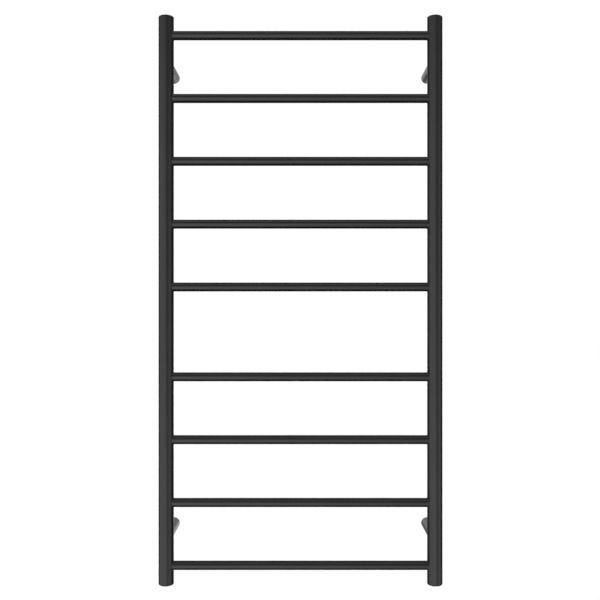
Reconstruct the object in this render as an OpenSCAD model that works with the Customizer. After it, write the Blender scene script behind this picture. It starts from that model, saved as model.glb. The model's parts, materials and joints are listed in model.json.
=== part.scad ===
// Wall-hung electric towel warmer: two round posts joined by nine round rails, held off the wall by
// four round standoffs. A heating cable snakes through every rail and both posts.
//
// Frame: the wall is the plane y = 0 and the rack stands in front of it, at negative y. +x is the right
// of somebody who faces the rack, +z is up, and the origin is midway between the four wall screws.

/* [Rack] */
// Overall width, across the outsides of the posts
rack_w = 600; // [450:10:900]
// Overall height, over the end caps
rack_h = 1200; // [1160:10:1400]
// Distance from the wall to the centre lines of the posts and rails
rack_depth = 108; // [100:1:140]

/* [Posts] */
// Outside diameter of a post
post_d = 32; // [31:1:40]
// Thickness of the post's tube
post_wall = 1.5; // [1:0.1:1.8]
// Diameter of the holes in the post that the cable and the leads pass through
cable_hole_d = 14; // [12:0.5:15]

/* [Rails] */
// Outside diameter of a rail
rail_d = 19; // [18:0.5:25]
// Thickness of the rail's tube
rail_wall = 1.2; // [0.9:0.1:1.4]
// Height from the lowest of the upper five rails to the highest of the lower four
middle_gap = 190; // [170:5:230]
// Height from the end of a post to the centre line of the nearest rail
end_to_rail = 40; // [36:1:55]

/* [End caps] */
// Thickness of the part of a cap that shows
cap_t = 3; // [2.8:0.1:5]
// Radius of the rounded edge of a cap
cap_edge_r = 2.4; // [1:0.1:2.4]
// Length of a cap's plug inside the post
cap_plug_l = 12; // [10:1:14]

/* [Standoffs] */
// Outside diameter of a standoff
standoff_d = 25; // [24:0.5:28]
// Inside diameter of a standoff, where it slides over its wall base
standoff_bore_d = 19; // [19:0.1:19.5]
// Height from the centre line of the nearest end rail to a standoff
standoff_inset = 60; // [58:1:70]

/* [Wall bases] */
// Thickness of the collar that stands against the wall
collar_t = 3; // [2.5:0.1:4]
// Length of the spigot inside the standoff
spigot_l = 25; // [22:1:30]
// Diameter of the hole for the wall screw
wall_screw_d = 4.5; // [4:0.1:5]
// Distance from the middle of a base to its wall screw, towards the rack's middle
wall_screw_offset = 4; // [3.8:0.1:4.2]
// Diameter of the mains lead that the grommet takes
mains_lead_d = 6; // [5.5:0.1:6.2]

/* [Heating cable] */
// Outside diameter of the heating cable
cable_d = 5; // [4:0.1:6]
// Radius of the cable's bends, on its centre line
cable_bend_r = 12; // [10:0.5:12.5]
// Outside diameter of the leads between the cable and the connectors
lead_d = 2; // [1.6:0.1:2.2]

/* [Hidden] */
$fn = 96;

// Name, side (-1 left, 1 right) and end (1 top, -1 bottom) of each corner of the rack
CORNERS = [["left_top", -1, 1], ["right_top", 1, 1], ["left_bottom", -1, -1], ["right_bottom", 1, -1]];
WIRED_CORNER = "right_bottom";
RAILS = 9;
UPPER_RAILS = 5;

// Clearances
weld_gap = 0.02; // between tubes that are welded together
plug_gap = 0.05; // around the plug of a cap
slide_gap = 0.05; // around a spigot inside its standoff
seat_gap = 0.3; // between a standoff and the collar of its base
edge_chamfer = 0.3; // on the turned edges that show
thread_gap = 0.02; // around a screw in its threaded hole
through = 1; // how far a cutting body runs past the face it cuts

post_x = (rack_w - post_d) / 2;
post_bore_d = post_d - 2 * post_wall;
rail_bore_d = rail_d - 2 * rail_wall;
rail_pitch = (rack_h - 2 * end_to_rail - middle_gap) / (RAILS - 2); // within each group of rails
height_step = 0.01; // the rails' heights are rounded to this
fixing_z = rack_h / 2 - end_to_rail - standoff_inset;

// Wall bases
spigot_d = standoff_bore_d - 2 * slide_gap;
spigot_chamfer = 1;
base_floor = 12; // from the wall to the bottom of the screw's pocket
screw_head_d = 8.6;
lead_hole_d = mains_lead_d + 1;
lead_hole_offset = 4.9; // away from the rack's middle
grommet_lip_d = lead_hole_d + 2;
grommet_lip_t = 2;

// Set screws, up through the bottom of each standoff
set_screw_d = 4;
set_screw_l = 3;
set_screw_from_wall = 8;
set_screw_socket_af = 2;
set_screw_socket_depth = 1.6;
set_screw_cup_d = 2;
set_screw_cup_depth = 0.8;

// Cap boss, and the earth screw that goes into one of them
boss_d = 10;
boss_hole_depth = 9;
skirt_t = 2;
earth_screw_d = 4;
earth_screw_l = 8;
earth_head_d = 8;
earth_head_h = 2.4;
earth_slot_w = 1;
earth_slot_depth = 1.2;

// Leads and connectors, in the standoff and the post of the wired corner
lead_bend_r = 5;
live_x = post_x + 2.6;
neutral_x = post_x - 2.6;
live_z = -fixing_z + 2.5;
earth_z = -fixing_z - 3.5;
connector_d = 4.4;
connector_from_wall = 40;
connector_l = 20;
cutout_d = 5;
cutout_from_wall = 66;
cutout_l = 14;
earth_lead_y = -rack_depth - 8;

// Splice between the leads and the heating cable, and the seal at the cable's far end
splice_d = 9;
splice_l = 30;
splice_z = -fixing_z - 14;
seal_d = 7;
seal_l = 24;
cable_tail = 28;

// Earth terminal, on the boss of the cap below
terminal_t = 0.8;
terminal_d = 9;
terminal_z = -rack_h / 2 + cap_t + cap_plug_l;
terminal_tail_w = 5;
barrel_d = 3.6;
barrel_l = 8;

SATIN_BLACK = [0.16, 0.16, 0.16];
ZINC = [0.62, 0.63, 0.64];
STEEL = [0.45, 0.46, 0.47];
COPPER = [0.72, 0.48, 0.32];

// Height of the centre line of a rail, counted from the top and rounded, so that the cable's runs and
// bends meet exactly
function rail_z(i) = height_step * round((i <= UPPER_RAILS
    ? rack_h / 2 - end_to_rail - (i - 1) * rail_pitch
    : -rack_h / 2 + end_to_rail + (RAILS - i) * rail_pitch) / height_step);

// Side of the rack where the heating cable climbs from rail i to the rail above it
function climb_side(i) = i % 2 == 1 ? -1 : 1;

// Places a piece in front of a wall fixing: its own z runs from the wall towards the rack, and its x
// and y are the rack's x and z
module at_fixing(side, end) {
    translate([side * post_x, 0, end * fixing_z])
        rotate([90, 0, 0]) children();
}

// Places a flat route in the plane of the rails: its x and y are the rack's x and z
module in_rail_plane() {
    translate([0, -rack_depth, 0])
        rotate([90, 0, 0]) children();
}

// Places a flat route in an upright plane across the rack: its x and y are the rack's y and z
module in_cross_plane(x) {
    translate([x, 0, 0])
        rotate([90, 0, 90]) children();
}

// Straight stretches of a flat route, and a quarter bend about (x, y) from a start angle
module run_x(x0, x1, y, d) {
    translate([min(x0, x1), y, 0])
        rotate([0, 90, 0]) cylinder(h = abs(x1 - x0), d = d);
}

module run_y(x, y0, y1, d) {
    translate([x, min(y0, y1), 0])
        rotate([-90, 0, 0]) cylinder(h = abs(y1 - y0), d = d);
}

module bend(x, y, start, bend_r, d) {
    translate([x, y, 0]) rotate([0, 0, start])
        rotate_extrude(angle = 90) translate([bend_r, 0]) circle(d = d);
}

// The solid cylinder that a post fills, for shaping the ends of the tubes welded to it
module post_envelope(side, gap) {
    translate([side * post_x, -rack_depth, -rack_h / 2])
        cylinder(h = rack_h, d = post_d + 2 * gap);
}

module post(side) {
    tube_l = rack_h - 2 * cap_t;
    color(SATIN_BLACK) difference() {
        translate([side * post_x, -rack_depth, -tube_l / 2]) cylinder(h = tube_l, d = post_d);
        translate([side * post_x, -rack_depth, -rack_h / 2]) cylinder(h = rack_h, d = post_bore_d);
        for (i = [1:RAILS]) {
            translate([side * post_x, -rack_depth, rail_z(i)])
                rotate([0, -side * 90, 0]) cylinder(h = post_d, d = cable_hole_d);
        }
        if (side == 1) {
            translate([post_x, -rack_depth, -fixing_z])
                rotate([-90, 0, 0]) cylinder(h = post_d, d = cable_hole_d);
        }
    }
}

module rail(i) {
    color(SATIN_BLACK) difference() {
        in_rail_plane() run_x(-post_x, post_x, rail_z(i), rail_d);
        in_rail_plane() run_x(-rack_w, rack_w, rail_z(i), rail_bore_d);
        post_envelope(-1, weld_gap);
        post_envelope(1, weld_gap);
    }
}

// Disc with a rounded edge, over a hollow plug with a tapped boss
module end_cap(side, end) {
    plug_d = post_bore_d - 2 * plug_gap;
    color(SATIN_BLACK) translate([side * post_x, -rack_depth, end * (rack_h / 2 - cap_t)])
        mirror([0, 0, end == 1 ? 0 : 1]) difference() {
            union() {
                rotate_extrude() {
                    polygon([
                        [0, 0],
                        [post_d / 2 - edge_chamfer, 0],
                        [post_d / 2, edge_chamfer],
                        [post_d / 2, cap_t - cap_edge_r],
                        [0, cap_t - cap_edge_r],
                    ]);
                    square([post_d / 2 - cap_edge_r, cap_t]);
                    translate([post_d / 2 - cap_edge_r, cap_t - cap_edge_r])
                        intersection() {
                            circle(r = cap_edge_r);
                            square(cap_edge_r);
                        }
                }
                translate([0, 0, -cap_plug_l]) difference() {
                    cylinder(h = cap_plug_l, d = plug_d);
                    difference() {
                        translate([0, 0, -through])
                            cylinder(h = cap_plug_l + through, d = plug_d - 2 * skirt_t);
                        translate([0, 0, -2 * through]) cylinder(h = cap_plug_l + 3 * through, d = boss_d);
                    }
                }
            }
            translate([0, 0, -cap_plug_l - through])
                cylinder(h = boss_hole_depth + through, d = earth_screw_d + 2 * thread_gap);
        }
}

module standoff(side, end) {
    start = collar_t + seat_gap;
    color(SATIN_BLACK) difference() {
        at_fixing(side, end) translate([0, 0, start]) {
            cylinder(h = edge_chamfer, d1 = standoff_d - 2 * edge_chamfer, d2 = standoff_d);
            translate([0, 0, edge_chamfer])
                cylinder(h = rack_depth - start - edge_chamfer, d = standoff_d);
        }
        at_fixing(side, end) cylinder(h = rack_depth, d = standoff_bore_d);
        at_fixing(side, end) translate([0, 0, set_screw_from_wall])
            rotate([90, 0, 0]) cylinder(h = standoff_d, d = set_screw_d + 2 * thread_gap);
        post_envelope(side, weld_gap);
    }
}

// Headless screw with a cup point and a hexagon socket
module set_screw(side, end) {
    tip = standoff_bore_d / 2;
    color(STEEL) at_fixing(side, end) translate([0, -tip, set_screw_from_wall])
        rotate([90, 0, 0]) difference() {
            cylinder(h = set_screw_l, d = set_screw_d);
            translate([0, 0, -set_screw_cup_depth])
                cylinder(h = 2 * set_screw_cup_depth, d1 = 2 * set_screw_cup_d, d2 = 0);
            translate([0, 0, set_screw_l - set_screw_socket_depth])
                cylinder(h = set_screw_l, d = set_screw_socket_af / cos(30), $fn = 6);
        }
}

// Collar and spigot turned from one piece, with a pocket for the head of its wall screw
module wall_base(name, side, end) {
    spigot_end = collar_t + spigot_l;
    sink = (screw_head_d - wall_screw_d) / 2;
    color(ZINC) at_fixing(side, end) difference() {
        rotate_extrude() polygon([
            [0, 0],
            [standoff_d / 2 - edge_chamfer, 0],
            [standoff_d / 2, edge_chamfer],
            [standoff_d / 2, collar_t - edge_chamfer],
            [standoff_d / 2 - edge_chamfer, collar_t],
            [spigot_d / 2, collar_t],
            [spigot_d / 2, spigot_end - spigot_chamfer],
            [spigot_d / 2 - spigot_chamfer, spigot_end],
            [0, spigot_end],
        ]);
        translate([-side * wall_screw_offset, 0, 0]) {
            translate([0, 0, -through]) cylinder(h = base_floor + through, d = wall_screw_d);
            translate([0, 0, base_floor - sink])
                cylinder(h = sink, d1 = wall_screw_d, d2 = screw_head_d);
            translate([0, 0, base_floor]) cylinder(h = spigot_end, d = screw_head_d);
        }
        if (name == WIRED_CORNER) {
            translate([side * lead_hole_offset, 0, 0]) {
                translate([0, 0, -through]) cylinder(h = spigot_end + 2 * through, d = lead_hole_d);
                translate([0, 0, -through]) cylinder(h = grommet_lip_t + through, d = grommet_lip_d);
            }
        }
    }
}

// Lipped bush that lines the mains lead's hole
module cable_grommet() {
    color("dimgray") at_fixing(1, -1) translate([lead_hole_offset, 0, 0]) difference() {
        union() {
            cylinder(h = grommet_lip_t, d = grommet_lip_d);
            cylinder(h = base_floor, d = lead_hole_d);
        }
        translate([0, 0, -through]) cylinder(h = base_floor + 2 * through, d = mains_lead_d);
    }
}

// Insulated crimp sleeve, open at the end that takes a core of the mains lead
module connector(x, z, shade) {
    socket_l = connector_l / 2;
    color(shade) in_cross_plane(x) difference() {
        run_x(-connector_from_wall - connector_l, -connector_from_wall, z, connector_d);
        run_x(-connector_from_wall - socket_l, 0, z, lead_d);
    }
}

// Lead that comes in along the standoff and turns down inside the post
module lead(x, z, from_wall, turn_y, bottom) {
    in_cross_plane(x) {
        run_x(-from_wall, turn_y + lead_bend_r, z, lead_d);
        bend(turn_y + lead_bend_r, z - lead_bend_r, 90, lead_bend_r, lead_d);
        run_y(turn_y, z - lead_bend_r, bottom, lead_d);
    }
}

module live_lead() {
    color("saddlebrown") {
        lead(live_x, live_z, cutout_from_wall + cutout_l, -rack_depth, splice_z);
        in_cross_plane(live_x)
            run_x(-cutout_from_wall, -connector_from_wall - connector_l, live_z, lead_d);
    }
}

module neutral_lead() {
    color("royalblue")
        lead(neutral_x, live_z, connector_from_wall + connector_l, -rack_depth, splice_z);
}

module earth_lead() {
    color("yellowgreen")
        lead(post_x, earth_z, connector_from_wall + connector_l, earth_lead_y, terminal_z + terminal_t);
}

// Bimetal capsule in the live lead
module thermal_cutout() {
    color("silver") in_cross_plane(live_x)
        run_x(-cutout_from_wall - cutout_l, -cutout_from_wall, live_z, cutout_d);
}

module cable_splice() {
    color("black") in_rail_plane() run_y(post_x, splice_z - splice_l, splice_z, splice_d);
}

// Cable's climb in the right post, out of the rail at y0 and into the rail at y1
module climb(y0, y1) {
    bend(post_x - cable_bend_r, y0 + cable_bend_r, -90, cable_bend_r, cable_d);
    run_y(post_x, y0 + cable_bend_r, y1 - cable_bend_r, cable_d);
    bend(post_x - cable_bend_r, y1 - cable_bend_r, 0, cable_bend_r, cable_d);
}

// One cable through the rails from the lowest to the highest, climbing in the two posts in turn
module heating_cable() {
    straight = post_x - cable_bend_r;
    color("firebrick") in_rail_plane() {
        run_y(post_x, rail_z(RAILS) + cable_bend_r, splice_z - splice_l, cable_d);
        bend(straight, rail_z(RAILS) + cable_bend_r, -90, cable_bend_r, cable_d);
        for (i = [1:RAILS]) {
            run_x(-straight, straight, rail_z(i), cable_d);
        }
        for (i = [2:RAILS]) {
            mirror([climb_side(i) == 1 ? 0 : 1, 0, 0]) climb(rail_z(i), rail_z(i - 1));
        }
        bend(-straight, rail_z(1) - cable_bend_r, 90, cable_bend_r, cable_d);
        run_y(-post_x, rail_z(1) - cable_bend_r - cable_tail, rail_z(1) - cable_bend_r, cable_d);
    }
}

module cable_end_seal() {
    top = rail_z(1) - cable_bend_r - cable_tail;
    color("black") in_rail_plane() run_y(-post_x, top - seal_l, top, seal_d);
}

// Ring terminal under the earth screw, with its barrel standing up around the end of the earth lead
module earth_terminal() {
    color(COPPER) translate([post_x, 0, terminal_z]) difference() {
        union() {
            translate([0, -rack_depth, 0]) cylinder(h = terminal_t, d = terminal_d);
            translate([-terminal_tail_w / 2, earth_lead_y, 0])
                cube([terminal_tail_w, -rack_depth - earth_lead_y, terminal_t]);
            translate([0, earth_lead_y, 0]) cylinder(h = terminal_t, d = terminal_tail_w);
            translate([0, earth_lead_y, 0]) cylinder(h = terminal_t + barrel_l, d = barrel_d);
        }
        translate([0, -rack_depth, -through])
            cylinder(h = terminal_t + 2 * through, d = earth_screw_d + 4 * thread_gap);
        translate([0, earth_lead_y, terminal_t])
            cylinder(h = barrel_l + through, d = lead_d + 2 * thread_gap);
    }
}

module earth_screw() {
    color(STEEL) translate([post_x, -rack_depth, terminal_z + terminal_t]) difference() {
        union() {
            cylinder(h = earth_head_h, d = earth_head_d);
            translate([0, 0, -earth_screw_l]) cylinder(h = earth_screw_l, d = earth_screw_d);
        }
        for (turn = [0, 90]) {
            rotate([0, 0, turn])
                translate([-earth_head_d / 4, -earth_slot_w / 2, earth_head_h - earth_slot_depth])
                cube([earth_head_d / 2, earth_slot_w, earth_slot_depth + through]);
        }
    }
}

post(-1);  // left_post
post(1);  // right_post
for (i = [1:RAILS]) {
    rail(i);
}
for (corner = CORNERS) {
    name = corner[0];
    side = corner[1];
    end = corner[2];
    end_cap(side, end);
    standoff(side, end);
    set_screw(side, end);
    wall_base(name, side, end);
}
cable_grommet();
connector(live_x, live_z, "saddlebrown");  // live_connector
connector(neutral_x, live_z, "royalblue");  // neutral_connector
connector(post_x, earth_z, "yellowgreen");  // earth_connector
live_lead();
neutral_lead();
earth_lead();
thermal_cutout();
cable_splice();
heating_cable();
cable_end_seal();
earth_terminal();
earth_screw();
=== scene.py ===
"""Studio scene for the wall-hung towel warmer: materials, weld beads, stage, light and camera."""
import json
import math

import bmesh
import bpy
from mathutils import Matrix, Vector


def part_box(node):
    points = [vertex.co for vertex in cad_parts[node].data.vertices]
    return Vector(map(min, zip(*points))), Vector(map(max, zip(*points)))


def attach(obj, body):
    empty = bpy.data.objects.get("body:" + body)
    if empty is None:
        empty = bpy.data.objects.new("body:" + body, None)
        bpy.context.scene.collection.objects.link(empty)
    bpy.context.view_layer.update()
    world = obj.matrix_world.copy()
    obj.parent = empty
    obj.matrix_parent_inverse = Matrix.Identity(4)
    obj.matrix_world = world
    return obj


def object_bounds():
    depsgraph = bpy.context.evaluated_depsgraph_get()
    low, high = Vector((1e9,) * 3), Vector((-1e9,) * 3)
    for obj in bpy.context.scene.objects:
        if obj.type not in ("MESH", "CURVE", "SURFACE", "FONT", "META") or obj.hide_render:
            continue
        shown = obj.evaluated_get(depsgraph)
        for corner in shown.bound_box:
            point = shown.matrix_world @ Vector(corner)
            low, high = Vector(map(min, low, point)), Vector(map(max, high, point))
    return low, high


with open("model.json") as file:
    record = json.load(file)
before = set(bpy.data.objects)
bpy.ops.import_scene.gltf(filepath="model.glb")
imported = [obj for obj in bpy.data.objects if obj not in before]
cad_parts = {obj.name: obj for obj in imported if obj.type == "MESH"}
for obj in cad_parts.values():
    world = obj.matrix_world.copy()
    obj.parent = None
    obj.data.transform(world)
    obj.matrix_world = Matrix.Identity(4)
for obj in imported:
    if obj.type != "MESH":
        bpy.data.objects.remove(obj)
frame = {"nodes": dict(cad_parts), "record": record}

CAD_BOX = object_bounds()
SCENE = bpy.context.scene
RACK = "rack"


# ---------------------------------------------------------------- sizes, all from the frame

def centre(node):
    """Middle of a CAD node's box."""
    low, high = (Vector(corner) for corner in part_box(node))
    return (low + high) / 2


def size(node):
    """Width, depth and height of a CAD node's box."""
    low, high = (Vector(corner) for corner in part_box(node))
    return high - low


RAILS = sorted(node for node in frame["nodes"] if node.startswith("rail_"))
STANDOFFS = sorted(node for node in frame["nodes"] if node.endswith("_standoff"))
POSTS = {-1: centre("left_post"), 1: centre("right_post")}
POST_R = size("left_post").x / 2
RAIL_R = size("rail_1").z / 2
STANDOFF_R = size("left_top_standoff").x / 2
STANDOFF_END_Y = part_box("left_top_standoff")[1][1]     # just clear of the wall base's collar
WALL_Y = CAD_BOX[1][1]


# ---------------------------------------------------------------- node helpers

class Nodes:
    """Short way to build one node tree."""

    def __init__(self, tree):
        self.tree = tree
        tree.nodes.clear()

    def add(self, kind, inputs=None, **settings):
        node = self.tree.nodes.new(kind)
        for name, value in settings.items():
            setattr(node, name, value)
        for name, value in (inputs or {}).items():
            socket = node.inputs[name]
            if isinstance(value, bpy.types.NodeSocket):
                self.tree.links.new(value, socket)
            else:
                socket.default_value = value
        return node

    def math(self, operation, a, b=0.0):
        node = self.add("ShaderNodeMath", {0: a, 1: b}, operation=operation)
        return node.outputs[0]

    def smooth(self, value, start, end, low=0.0, high=1.0):
        """Eases from low to high as value goes from start to end."""
        node = self.add("ShaderNodeMapRange", {"Value": value, "From Min": start, "From Max": end,
                                               "To Min": low, "To Max": high},
                        interpolation_type="SMOOTHSTEP")
        return node.outputs["Result"]

    def noise(self, vector, scale, detail, roughness):
        node = self.add("ShaderNodeTexNoise", {"Vector": vector, "Scale": scale, "Detail": detail,
                                               "Roughness": roughness})
        return node.outputs["Fac"]

    def bump(self, height, distance, strength, normal=None):
        inputs = {"Height": height, "Distance": distance, "Strength": strength}
        if normal is not None:
            inputs["Normal"] = normal
        return self.add("ShaderNodeBump", inputs).outputs["Normal"]

    def tint(self, factor, dark, light):
        """Colour between dark and light."""
        node = self.add("ShaderNodeMix", data_type="RGBA")
        self.tree.links.new(factor, node.inputs[0])
        node.inputs[6].default_value = (*dark, 1.0)
        node.inputs[7].default_value = (*light, 1.0)
        return node.outputs[2]


def new_material(name):
    """Material with an empty tree and a surface shader on its output."""
    material = bpy.data.materials.new(name)
    material.use_nodes = True
    nodes = Nodes(material.node_tree)
    shader = nodes.add("ShaderNodeBsdfPrincipled")
    nodes.add("ShaderNodeOutputMaterial", {"Surface": shader.outputs["BSDF"]})
    place = nodes.add("ShaderNodeTexCoord").outputs["Object"]
    return material, nodes, shader, place


def link(nodes, shader, **sockets):
    """Joins outputs to the shader's sockets, which are named with _ for a space."""
    for name, output in sockets.items():
        nodes.tree.links.new(output, shader.inputs[name.replace("_", " ")])


# ---------------------------------------------------------------- materials

# Noise scales are in features per metre, and depths in metres.
PEEL_SCALE = 420.0        # orange peel of the powder coat
PEEL_DEPTH = 0.00007
GRAIN_SCALE = 2600.0      # its tighter grain
GRAIN_DEPTH = 0.000012
DRIFT_SCALE = 14.0        # slow change of its gloss and tone
BLACK_LOW, BLACK_HIGH = (0.0195, 0.0195, 0.0199), (0.0245, 0.0245, 0.0250)

TURNING_FEED = 0.0006     # from one turning ring to the next
CAST_SCALE = 900.0        # clouds of the die-cast metal
TURNED_DEPTH = 0.00002
ZINC_LOW, ZINC_HIGH = (0.42, 0.43, 0.44), (0.56, 0.57, 0.58)
COAT_FRONT = 0.0003       # depth over which the black coat starts, at the collar's front
COAT_BACK = 0.0003, 0.0001             # where it ends, in front of the wall
COAT_IN, COAT_FULL = 0.80, 0.85        # how far out it starts, as shares of the collar's radius

DRAWN_SCALE = 5200.0      # fine lines of drawn or plated metal
DRAWN_STRETCH = 0.08
DRAWN_DEPTH = 0.00001
METAL_CLOUDS = 700.0
MOULD_SCALE = 3200.0      # moulded grain of rubber and plastic
DUST_SCALE = 160.0
STRIPE_BLUR = 0.00008     # half the width of the blur between an earth core's two colours
LOW_TONE, HIGH_TONE = 0.3, 0.7         # the part of a noise's range that carries its detail


def satin_black():
    """Satin powder coat: orange peel under a tighter grain, slightly uneven in gloss and tone."""
    material, nodes, shader, place = new_material("satin_black_powder_coat")
    peel = nodes.noise(place, PEEL_SCALE, 2.0, 0.45)
    grain = nodes.noise(place, GRAIN_SCALE, 1.0, 0.5)
    drift = nodes.noise(place, DRIFT_SCALE, 3.0, 0.6)
    gloss = nodes.math("ADD", nodes.math("MULTIPLY", peel, 0.5), nodes.math("MULTIPLY", drift, 0.5))
    link(nodes, shader,
         Base_Color=nodes.tint(nodes.smooth(drift, LOW_TONE, HIGH_TONE), BLACK_LOW, BLACK_HIGH),
         Roughness=nodes.smooth(gloss, LOW_TONE, HIGH_TONE, 0.21, 0.27),
         Normal=nodes.bump(grain, GRAIN_DEPTH, 0.5, nodes.bump(peel, PEEL_DEPTH, 0.5)))
    return material


def turned_zinc():
    """Die-cast zinc, turned all over, with the rack's black coat on the collar's rim, which shows."""
    material, nodes, shader, place = new_material("turned_zinc_black_rim")
    axes = nodes.add("ShaderNodeSeparateXYZ", {"Vector": place})
    along = axes.outputs["Y"]
    middle = centre("right_top_wall_base")
    across = nodes.add("ShaderNodeCombineXYZ", {
        "X": nodes.math("SUBTRACT", nodes.math("ABSOLUTE", axes.outputs["X"]), middle.x),
        "Y": nodes.math("SUBTRACT", nodes.math("ABSOLUTE", axes.outputs["Z"]), middle.z)})
    radius = nodes.add("ShaderNodeVectorMath", {0: across.outputs["Vector"]},
                       operation="LENGTH").outputs["Value"]
    feed = nodes.math("MULTIPLY", nodes.math("ADD", radius, along), 2 * math.pi / TURNING_FEED)
    cast = nodes.noise(place, CAST_SCALE, 3.0, 0.6)
    rings = nodes.math("MULTIPLY", nodes.math("SINE", feed), 0.5)
    front = nodes.smooth(along, STANDOFF_END_Y, STANDOFF_END_Y + COAT_FRONT)
    back = nodes.smooth(along, WALL_Y - COAT_BACK[0], WALL_Y - COAT_BACK[1], 1.0, 0.0)
    rim = nodes.math("MULTIPLY", nodes.math("MULTIPLY", front, back),
                     nodes.smooth(radius, COAT_IN * STANDOFF_R, COAT_FULL * STANDOFF_R))
    colour = nodes.add("ShaderNodeMix", data_type="RGBA")
    nodes.tree.links.new(rim, colour.inputs[0])
    nodes.tree.links.new(nodes.tint(cast, ZINC_LOW, ZINC_HIGH), colour.inputs[6])
    nodes.tree.links.new(nodes.tint(cast, BLACK_LOW, BLACK_HIGH), colour.inputs[7])
    link(nodes, shader,
         Base_Color=colour.outputs[2],
         Metallic=nodes.math("SUBTRACT", 1.0, rim),
         Roughness=nodes.smooth(cast, LOW_TONE, HIGH_TONE, 0.28, 0.40),
         Normal=nodes.bump(nodes.math("ADD", rings, cast), TURNED_DEPTH, 0.5))
    return material


def worn_metal(name, dark, light, roughness):
    """Plated or drawn metal with fine lines that run back to front, and cloudy gloss."""
    material, nodes, shader, place = new_material(name)
    stretch = nodes.add("ShaderNodeMapping", {"Vector": place, "Scale": (1.0, DRAWN_STRETCH, 1.0)})
    lines = nodes.noise(stretch.outputs["Vector"], DRAWN_SCALE, 2.0, 0.6)
    cloud = nodes.noise(place, METAL_CLOUDS, 3.0, 0.6)
    link(nodes, shader,
         Base_Color=nodes.tint(cloud, dark, light),
         Roughness=nodes.smooth(cloud, LOW_TONE, HIGH_TONE, roughness - 0.06, roughness + 0.06),
         Normal=nodes.bump(lines, DRAWN_DEPTH, 0.4))
    shader.inputs["Metallic"].default_value = 1.0
    return material


def moulded(name, dark, light, roughness, grain_depth, stripe_x=None):
    """Rubber, silicone or plastic insulation: fine moulded grain and a little dust in its tone.

    With stripe_x it is dark on one side of that plane and light on the other, as an earth core is.
    """
    material, nodes, shader, place = new_material(name)
    grain = nodes.noise(place, MOULD_SCALE, 2.0, 0.55)
    cloud = nodes.noise(place, DUST_SCALE, 3.0, 0.6)
    tone = cloud
    if stripe_x is not None:
        side = nodes.add("ShaderNodeSeparateXYZ", {"Vector": place}).outputs["X"]
        half = nodes.smooth(side, stripe_x - STRIPE_BLUR, stripe_x + STRIPE_BLUR, 0.0, 0.9)
        tone = nodes.math("ADD", half, nodes.math("MULTIPLY", cloud, 0.1))
    link(nodes, shader,
         Base_Color=nodes.tint(tone, dark, light),
         Roughness=nodes.smooth(cloud, LOW_TONE, HIGH_TONE, roughness - 0.05, roughness + 0.05),
         Normal=nodes.bump(grain, grain_depth, 0.5))
    return material


def dress_nodes():
    """Gives every CAD node the material of its slot."""
    looks = {
        "satin_black": satin_black(),
        "cast_zinc": turned_zinc(),
        "screw_steel": worn_metal("zinc_plated_steel",
                                  (0.30, 0.31, 0.32), (0.42, 0.43, 0.45), 0.32),
        "grommet_rubber": moulded("black_rubber",
                                  (0.012, 0.012, 0.012), (0.030, 0.030, 0.030), 0.62, 0.00003),
        "brown_insulation": moulded("brown_insulation",
                                    (0.16, 0.06, 0.025), (0.22, 0.09, 0.04), 0.42, 0.00001),
        "blue_insulation": moulded("blue_insulation",
                                   (0.03, 0.11, 0.38), (0.05, 0.16, 0.50), 0.42, 0.00001),
        "earth_insulation": moulded("earth_insulation",
                                    (0.05, 0.30, 0.06), (0.78, 0.70, 0.05), 0.42, 0.00001,
                                    stripe_x=centre("earth_lead").x),
        "cutout_metal": worn_metal("drawn_aluminium",
                                   (0.62, 0.62, 0.61), (0.74, 0.74, 0.72), 0.28),
        "black_sleeving": moulded("heat_shrink_sleeving",
                                  (0.010, 0.010, 0.010), (0.022, 0.022, 0.022), 0.45, 0.00002),
        "red_silicone": moulded("red_silicone",
                                (0.34, 0.04, 0.03), (0.46, 0.07, 0.05), 0.55, 0.00002),
        "tinned_copper": worn_metal("tinned_copper",
                                    (0.60, 0.55, 0.50), (0.74, 0.70, 0.66), 0.30),
    }
    slots = {part["node"]: part["material_slot"] for part in frame["record"]["subparts"]}
    for node in frame["nodes"]:
        mesh = bpy.data.objects[node].data
        mesh.materials.clear()
        mesh.materials.append(looks[slots[node]])
    return looks


# ---------------------------------------------------------------- weld beads

BEAD_R = 0.0014       # radius of the hollow between two tubes
BEAD_ROUND = 128      # steps around a tube
BEAD_ACROSS = 8       # steps across a bead
RIPPLE = 0.05         # how uneven a bead is, as a share of its radius
RIPPLES = 23          # ripples in one turn
SWELLS = 3            # slower swells in one turn
SWELL = 0.4           # and their size, as a share of a ripple's
BEAD_ROOT = 0.0002    # how far a bead's root is sunk into both tubes
STANDOFF_SEED = 20    # keeps the standoffs' ripples apart from the rails'


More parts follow.
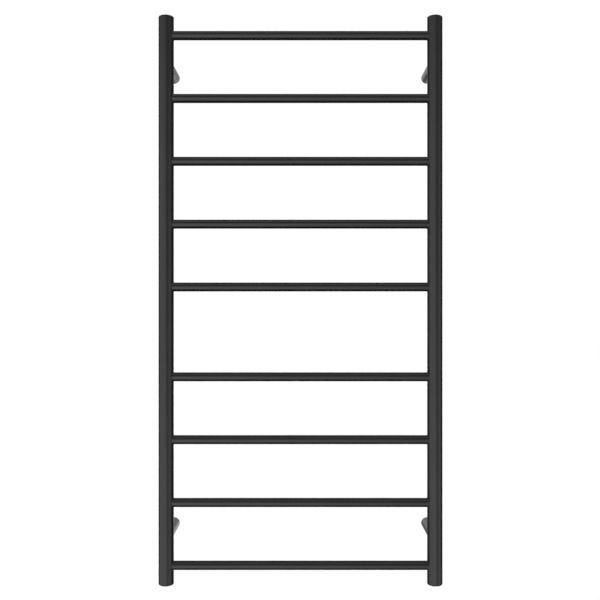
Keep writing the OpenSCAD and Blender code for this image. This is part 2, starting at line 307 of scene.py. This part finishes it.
def bead_ring(tube_r, turn, seed):
    """Points and normals of a bead's section at one turn about the tube that is welded to a post.

    The post's axis is +Z and the tube's is +X. A ball of the bead's radius rolls along the corner
    between them: the section is the arc between its two points of contact, and the corner's root.
    """
    ripple = math.sin(RIPPLES * turn + seed) + SWELL * math.sin(SWELLS * turn + 2 * seed)
    ball_r = BEAD_R * (1.0 + RIPPLE * ripple)
    y, z = (tube_r + ball_r) * math.cos(turn), (tube_r + ball_r) * math.sin(turn)
    ball = Vector((math.sqrt((POST_R + ball_r) ** 2 - y * y), y, z))
    on_tube = Vector((ball.x, tube_r * math.cos(turn), tube_r * math.sin(turn)))
    flat = Vector((ball.x, ball.y)) * POST_R / (POST_R + ball_r)
    on_post = Vector((flat.x, flat.y, ball.z))
    start, end = (on_tube - ball).normalized(), (on_post - ball).normalized()
    rays = [start.slerp(end, step / BEAD_ACROSS) for step in range(BEAD_ACROSS + 1)]
    root_r = tube_r - BEAD_ROOT
    root_y, root_z = root_r * math.cos(turn), root_r * math.sin(turn)
    root = Vector((math.sqrt((POST_R - BEAD_ROOT) ** 2 - root_y * root_y), root_y, root_z))
    points = [ball + ray * ball_r for ray in rays] + [root]
    normals = [-ray for ray in rays] + [(root - ball).normalized()]
    return points, normals


def weld_bead(name, tube_r, place, turned, material, seed):
    """Closed ring of weld where a tube meets a post.

    place is the point on the post's axis that the tube's axis runs to, and turned maps the ring's
    +X to the tube's direction.
    """
    mesh = bpy.data.meshes.new(name)
    shape = bmesh.new()
    rings, normals = [], []
    for step in range(BEAD_ROUND):
        points, outward = bead_ring(tube_r, 2 * math.pi * step / BEAD_ROUND, seed)
        rings.append([shape.verts.new(place + turned @ point) for point in points])
        normals += [turned @ normal for normal in outward]
    for step, ring in enumerate(rings):
        ahead = rings[(step + 1) % BEAD_ROUND]
        for i in range(len(ring)):
            j = (i + 1) % len(ring)
            face = shape.faces.new((ring[i], ring[j], ahead[j], ahead[i]))
            face.smooth = i < BEAD_ACROSS
    bmesh.ops.recalc_face_normals(shape, faces=shape.faces)
    shape.to_mesh(mesh)
    shape.free()
    mesh.normals_split_custom_set_from_vertices(normals)
    mesh.materials.append(material)
    bead = bpy.data.objects.new(name, mesh)
    SCENE.collection.objects.link(bead)
    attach(bead, RACK)


def weld_beads(material):
    """One bead at each end of each rail, and one where each standoff meets its post."""
    for index, rail in enumerate(RAILS):
        for side, post in POSTS.items():
            turned = Matrix.Rotation(math.pi if side == 1 else 0.0, 3, "Z")
            place = Vector((post.x, post.y, centre(rail).z))
            label = "left" if side == -1 else "right"
            weld_bead(f"{rail}_{label}_weld", RAIL_R, place, turned, material, index + 0.5 * side)
    for index, standoff in enumerate(STANDOFFS):
        post = POSTS[-1] if centre(standoff).x < 0 else POSTS[1]
        turned = Matrix.Rotation(math.pi / 2, 3, "Z")
        place = Vector((post.x, post.y, centre(standoff).z))
        weld_bead(f"{standoff}_weld", STANDOFF_R, place, turned, material, STANDOFF_SEED + index)


# ---------------------------------------------------------------- stage, light and camera

FLOOR_DROP = 0.45     # from the rack's lower end to the floor
FLOOR_HALF = 12.0     # half the length of its sides
FLOOR_PAINT = (0.80, 0.80, 0.80, 1.0)
FLOOR_GLOW = 0.22     # brings the floor up to the white of the surroundings
WHITE = 1.01          # surroundings as the camera sees them
SUN_TURN = -50.0      # the floor's own light: from the front left, and high, in degrees
SUN_LIFT = 66.0
SUN_WIDTH = 4.0
SUN_STRENGTH = 1.4
DARKEST = 0.02        # what falls on the rack from where there is no soft box
SOFT_EDGE = 12.0      # half the width of a soft box's edge, in degrees
BEHIND_EDGE = math.cos(math.radians(24.0))    # the round light straight behind: where it starts,
BEHIND_FULL = math.cos(math.radians(18.0))    # and where it is full
BEHIND_SIDE = 0.12            # half the width, in a unit direction's x, of its change to the right
BEHIND_UPPER = 0.95, 0.72     # strengths on the left and the right of its upper half
BEHIND_LOWER = 0.28, 1.40     # and of its lower half
BEHIND_MIDDLE = -8.0, 2.0     # the two halves meet between these elevations, in degrees
CAMERA_DISTANCE = 1.692    # from the camera to the posts' axes
CAMERA_LENS = 48.0
SENSOR = 36.0
HALF_PIXEL = 0.5 / 600     # of the frame's width: the rack's middle is in the middle of a pixel


def floor():
    """Plain pale floor. It sends no light to the rack: the low soft boxes stand for its bounce."""
    material = bpy.data.materials.new("pale_floor")
    material.use_nodes = True
    nodes = Nodes(material.node_tree)
    paint = nodes.add("ShaderNodeBsdfDiffuse", {"Color": FLOOR_PAINT})
    glow = nodes.add("ShaderNodeEmission", {"Color": (1.0, 1.0, 1.0, 1.0), "Strength": FLOOR_GLOW})
    both = nodes.add("ShaderNodeAddShader", {0: paint.outputs[0], 1: glow.outputs[0]})
    nodes.add("ShaderNodeOutputMaterial", {"Surface": both.outputs[0]})
    mesh = bpy.data.meshes.new("floor")
    height = CAD_BOX[0][2] - FLOOR_DROP
    corners = [(-1, -1), (1, -1), (1, 1), (-1, 1)]
    points = [(x * FLOOR_HALF, y * FLOOR_HALF, height) for x, y in corners]
    mesh.from_pydata(points, [], [(0, 1, 2, 3)])
    mesh.materials.append(material)
    ground = bpy.data.objects.new("floor", mesh)
    SCENE.collection.objects.link(ground)
    ground.visible_diffuse = False
    ground.visible_glossy = False
    return ground


def floor_light(ground):
    """Soft sun that lights only the floor, where the rack's shadow falls behind and to the right."""
    data = bpy.data.lights.new("floor_light", "SUN")
    data.energy = SUN_STRENGTH
    data.angle = math.radians(SUN_WIDTH)
    sun = bpy.data.objects.new("floor_light", data)
    sun.rotation_euler = (math.radians(90.0 - SUN_LIFT), 0.0, math.radians(SUN_TURN))
    SCENE.collection.objects.link(sun)
    lit = bpy.data.collections.new("lit_by_floor_light")
    lit.objects.link(ground)
    sun.light_linking.receiver_collection = lit


def studio():
    """White surroundings for the camera, and a room of soft boxes for what falls on the rack.

    turn is a direction's angle from the front, to the right, and lift is its elevation.
    """
    world = bpy.data.worlds.new("studio")
    world.use_nodes = True
    SCENE.world = world
    nodes = Nodes(world.node_tree)
    direction = nodes.add("ShaderNodeTexCoord").outputs["Generated"]
    axes = nodes.add("ShaderNodeSeparateXYZ", {"Vector": direction})
    back = nodes.math("MULTIPLY", axes.outputs["Y"], -1.0)
    turn = nodes.math("MULTIPLY", nodes.math("ARCTAN2", axes.outputs["X"], back), 180 / math.pi)
    lift = nodes.math("MULTIPLY", nodes.math("ARCSINE", axes.outputs["Z"]), 180 / math.pi)

    def window(value, start, end):
        """1 between start and end degrees, with soft edges."""
        rise = nodes.smooth(value, start - SOFT_EDGE, start + SOFT_EDGE)
        fall = nodes.smooth(value, end - SOFT_EDGE, end + SOFT_EDGE, 1.0, 0.0)
        return nodes.math("MULTIPLY", rise, fall)

    def box(strength, sideways, turns, lifts):
        """Soft box between two turns and two elevations."""
        across, upright = window(sideways, *turns), window(lift, *lifts)
        return nodes.math("MULTIPLY", nodes.math("MULTIPLY", across, upright), strength)

    both_sides = nodes.math("ABSOLUTE", turn)
    lights = [
        box(0.40, turn, (-112, 96), (-64, 24)),          # broad front fill
        box(0.10, turn, (-112, 96), (-64, -6)),          # a little more of it from below
        box(0.78, turn, (-92, 3), (-54, 20)),            # large soft box on the left
        box(0.46, turn, (45, 85), (-58, 12)),            # narrow soft box on the right
        box(0.45, turn, (-20, 30), (-68, -8)),           # low bounce in front
        box(0.67, turn, (-90, 90), (44, 95)),            # overhead
        box(3.00, both_sides, (104, 146), (38, 66)),     # high kickers behind, left and right
        box(1.00, both_sides, (108, 152), (-54, -32)),   # low kickers behind, left and right
        box(0.04, both_sides, (118, 175), (-26, 26)),    # fill behind
    ]
    total = DARKEST
    for light in lights:
        total = nodes.math("ADD", light, total)
    behind = nodes.smooth(axes.outputs["Y"], BEHIND_EDGE, BEHIND_FULL)
    upper = nodes.smooth(axes.outputs["X"], -BEHIND_SIDE, BEHIND_SIDE, *BEHIND_UPPER)
    lower = nodes.smooth(axes.outputs["X"], -BEHIND_SIDE, BEHIND_SIDE, *BEHIND_LOWER)
    below = nodes.smooth(lift, *BEHIND_MIDDLE, 1.0, 0.0)
    slanted = nodes.math("ADD", nodes.math("MULTIPLY", lower, below),
                         nodes.math("MULTIPLY", upper, nodes.math("SUBTRACT", 1.0, below)))
    total = nodes.math("ADD", total, nodes.math("MULTIPLY", behind, slanted))
    seen = nodes.add("ShaderNodeBackground", {"Color": (1, 1, 1, 1), "Strength": WHITE})
    cast = nodes.add("ShaderNodeBackground", {"Color": (1, 1, 1, 1), "Strength": total})
    camera_ray = nodes.add("ShaderNodeLightPath").outputs["Is Camera Ray"]
    mix = nodes.add("ShaderNodeMixShader", {0: camera_ray, 1: cast.outputs[0], 2: seen.outputs[0]})
    nodes.add("ShaderNodeOutputWorld", {"Surface": mix.outputs[0]})


def camera():
    """Camera straight in front of the rack's middle, at the distance that its perspective shows."""
    data = bpy.data.cameras.new("camera")
    data.lens = CAMERA_LENS
    data.sensor_width = SENSOR
    data.shift_x = -HALF_PIXEL
    data.shift_y = HALF_PIXEL
    view = bpy.data.objects.new("camera", data)
    view.location = (0.0, POSTS[-1].y - CAMERA_DISTANCE, 0.0)
    view.rotation_euler = (math.pi / 2, 0.0, 0.0)
    SCENE.collection.objects.link(view)
    SCENE.camera = view


def show_settings():
    """Plain display of what the renderer makes."""
    SCENE.view_settings.view_transform = "Standard"
    SCENE.view_settings.look = "None"
    SCENE.view_settings.exposure = 0.0
    SCENE.view_settings.gamma = 1.0


camera()
looks = dress_nodes()
weld_beads(looks["satin_black"])
floor_light(floor())
studio()
show_settings()
